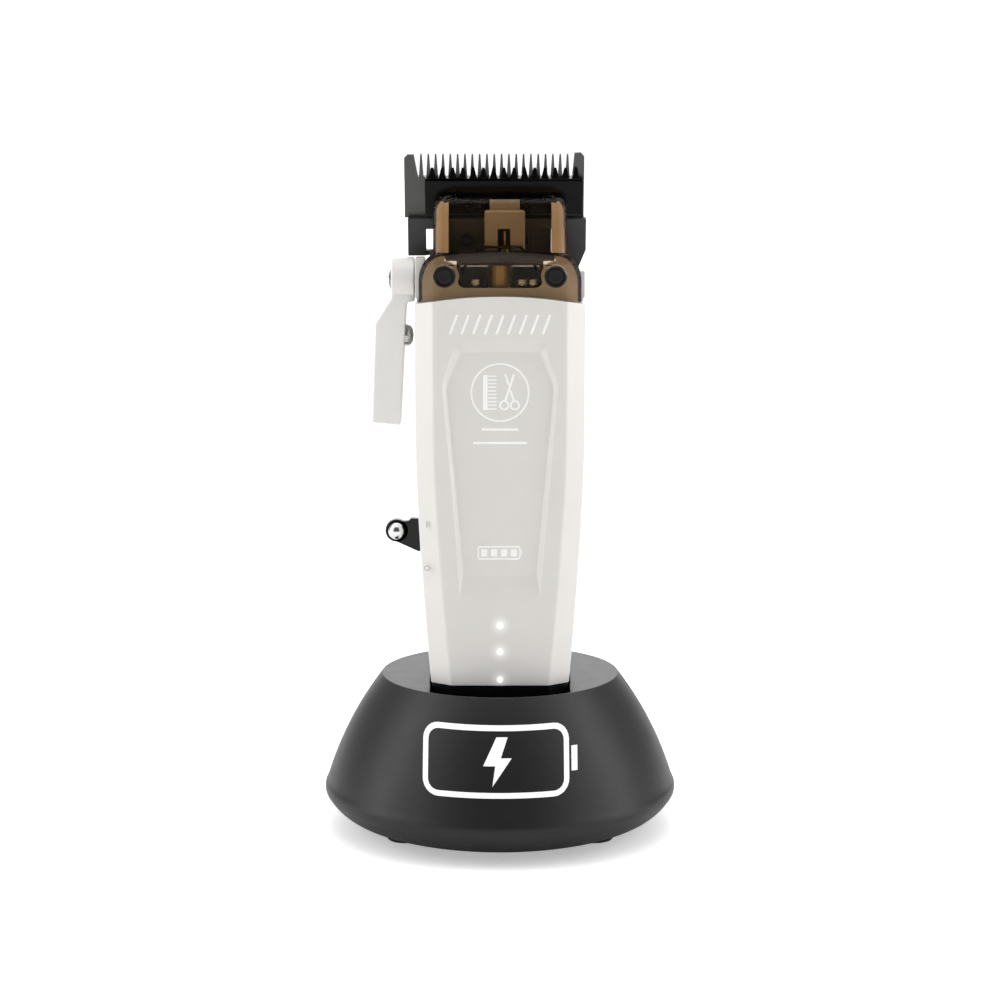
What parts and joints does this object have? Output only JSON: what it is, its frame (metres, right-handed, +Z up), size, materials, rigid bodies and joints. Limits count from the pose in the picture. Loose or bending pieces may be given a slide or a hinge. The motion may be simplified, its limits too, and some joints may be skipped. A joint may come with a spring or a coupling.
{
  "type": "hair clipper",
  "caption": "Cordless metal hair clipper with a taper lever, smoked head cover and power lever, standing in a round weighted charging stand.",
  "frame": {"origin": "centre of the stand's footprint on the surface it stands on", "axes": "+Z up through the stand's axis; the clipper's lit front faces -Y and its taper lever is on the -X side"},
  "size_m": [0.0924, 0.0924, 0.1756],
  "materials": {
    "ivory_enamel": "smooth semi-gloss ivory powder enamel",
    "stand_black": "satin charcoal",
    "dark_plastic": "fine moulded grain",
    "gloss_black": "gloss",
    "steel": "machined",
    "black_steel": "black oxide",
    "blade_steel": "ground, dark hard coating",
    "chrome": "polished",
    "satin_silver": "satin",
    "brass": "turned",
    "copper": "enamelled wire",
    "yoke_brown": "moulded engineering plastic",
    "smoked_clear": "clear smoked, polished",
    "rubber": "matt",
    "circuit_board": "solder mask",
    "battery_wrap": "shrink sleeve",
    "lens_white": "frosted light guide"
  },
  "bodies": {
    "stand": {"stand_shell": "stand_black", "socket_liner": "dark_plastic", "stand_base_plate": "dark_plastic", "stand_weight": "steel", "stand_circuit_board": "circuit_board", "pin_block": "dark_plastic", "charging_inlet": "steel", "rubber_foot_1": "rubber", "rubber_foot_2": "rubber", "rubber_foot_3": "rubber", "rubber_foot_4": "rubber", "base_screw_1": "black_steel", "base_screw_2": "black_steel", "base_screw_3": "black_steel"},
    "pin_left": {"charge_pin_left": "brass"},
    "pin_right": {"charge_pin_right": "brass"},
    "clipper": {"front_shell": "ivory_enamel", "rear_shell": "ivory_enamel", "end_cap": "gloss_black", "charge_contact_left": "brass", "charge_contact_right": "brass", "head_cover": "smoked_clear", "cover_screw_left": "black_steel", "cover_screw_right": "black_steel", "head_frame": "dark_plastic", "chassis": "dark_plastic", "motor_can": "steel", "motor_stator": "copper", "motor_cap": "dark_plastic", "motor_bearing": "steel", "battery_cell": "battery_wrap", "control_board": "circuit_board", "led_board": "circuit_board", "led_lens_1": "lens_white", "led_lens_2": "lens_white", "led_lens_3": "lens_white", "switch_module": "dark_plastic", "shell_screw_lower": "steel", "shell_screw_upper": "steel", "tension_spring": "steel", "post_screw_1": "steel", "post_screw_2": "steel", "post_screw_3": "steel"},
    "rotor": {"motor_rotor": "black_steel", "motor_shaft": "steel", "eccentric": "brass"},
    "cutter": {"cutter_blade": "blade_steel", "drive_yoke": "yoke_brown"},
    "blade_set": {"fixed_blade": "blade_steel", "blade_screw_left": "black_steel", "blade_screw_right": "black_steel", "taper_carrier": "gloss_black"},
    "lever": {"taper_lever": "ivory_enamel", "lever_pivot": "steel", "lever_screw": "chrome"},
    "detent": {"detent_plunger": "satin_silver"},
    "switch": {"switch_arm": "gloss_black", "switch_ball": "chrome"}
  },
  "joints": [
    {"name": "clipper_lift", "type": "slide", "parent": "stand", "child": "clipper", "axis": [0, 0, 1], "range_m": [0, 0.06]},
    {"name": "pin_left_press", "type": "slide", "parent": "stand", "child": "pin_left", "axis": [0, 0, -1], "range_m": [0, 0.0012], "stiffness_N_per_m": 300},
    {"name": "pin_right_press", "type": "slide", "parent": "stand", "child": "pin_right", "axis": [0, 0, -1], "range_m": [0, 0.0012], "stiffness_N_per_m": 300},
    {"name": "motor_spin", "type": "hinge", "parent": "clipper", "child": "rotor", "pos_m": [0, -0.0075, 0.11], "axis": [0, 0, 1], "continuous": true},
    {"name": "cutter_stroke", "type": "slide", "parent": "clipper", "child": "cutter", "axis": [1, 0, 0], "range_m": [-0.0024, 0]},
    {"name": "lever_swing", "type": "hinge", "parent": "clipper", "child": "lever", "pos_m": [-0.0217, -0.008, 0.1436], "axis": [-1, 0, 0], "range_deg": [0, 55]},
    {"name": "blade_taper", "type": "slide", "parent": "clipper", "child": "blade_set", "axis": [0, 0.1736, -0.9848], "range_m": [0, 0.00221]},
    {"name": "detent_press", "type": "slide", "parent": "lever", "child": "detent", "axis": [-1, 0, 0], "range_m": [0, 0.0008], "stiffness_N_per_m": 400},
    {"name": "power_switch", "type": "hinge", "parent": "clipper", "child": "switch", "pos_m": [-0.0175, -0.01, 0.0784], "axis": [0, -1, 0], "range_deg": [0, 16]}
  ],
  "couplings": [
    {"joint": "blade_taper", "follows": "lever_swing", "m_per_rad": 0.0022918}
  ]
}
